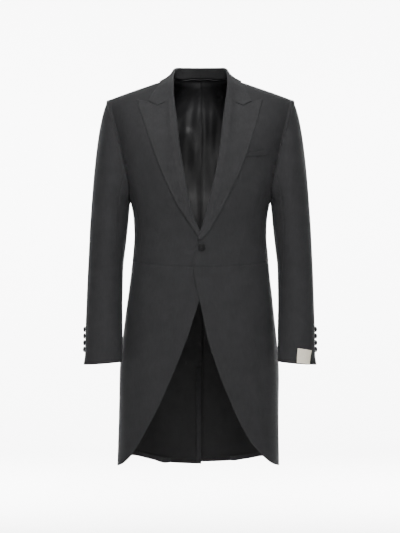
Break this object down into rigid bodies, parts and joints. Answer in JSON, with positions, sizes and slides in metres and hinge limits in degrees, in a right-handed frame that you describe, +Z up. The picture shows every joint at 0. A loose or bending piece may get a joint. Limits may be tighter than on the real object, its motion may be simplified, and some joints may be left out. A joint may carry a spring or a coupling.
{
  "type": "morning coat",
  "caption": "Charcoal morning coat, hollow as worn: peak lapels, waist seam, fronts cut away in a long curve to knee-length tails with a centre vent.",
  "frame": {"origin": "middle of the neck opening at the height where the shoulders meet the neck, where a neck or a hanger holds the coat", "axes": "+Z up along the coat's length, -Y towards the coat's front, +X towards the wearer's left"},
  "size_m": [0.5817, 0.2774, 1.0149],
  "materials": {
    "wool_twill": "fine worsted twill, matt with a faint sheen",
    "black_satin": "black satin lining",
    "black_button": "dark, half matt",
    "cream_label": "plain woven label"
  },
  "bodies": {
    "root": {"forepart_left": "wool_twill", "forepart_right": "wool_twill", "side_body_left": "wool_twill", "side_body_right": "wool_twill", "back_left": "wool_twill", "back_right": "wool_twill", "skirt_left": "wool_twill", "skirt_right": "wool_twill", "lapel_left": "wool_twill", "lapel_right": "wool_twill", "collar": "wool_twill", "top_sleeve_left": "wool_twill", "top_sleeve_right": "wool_twill", "under_sleeve_left": "wool_twill", "under_sleeve_right": "wool_twill", "breast_welt": "wool_twill", "vent_facing": "wool_twill", "lining_left": "black_satin", "lining_right": "black_satin", "front_button": "black_button", "cuff_button_left_1": "black_button", "cuff_button_left_2": "black_button", "cuff_button_left_3": "black_button", "cuff_button_left_4": "black_button", "cuff_button_right_1": "black_button", "cuff_button_right_2": "black_button", "cuff_button_right_3": "black_button", "cuff_button_right_4": "black_button", "sleeve_label": "cream_label"}
  },
  "joints": []
}
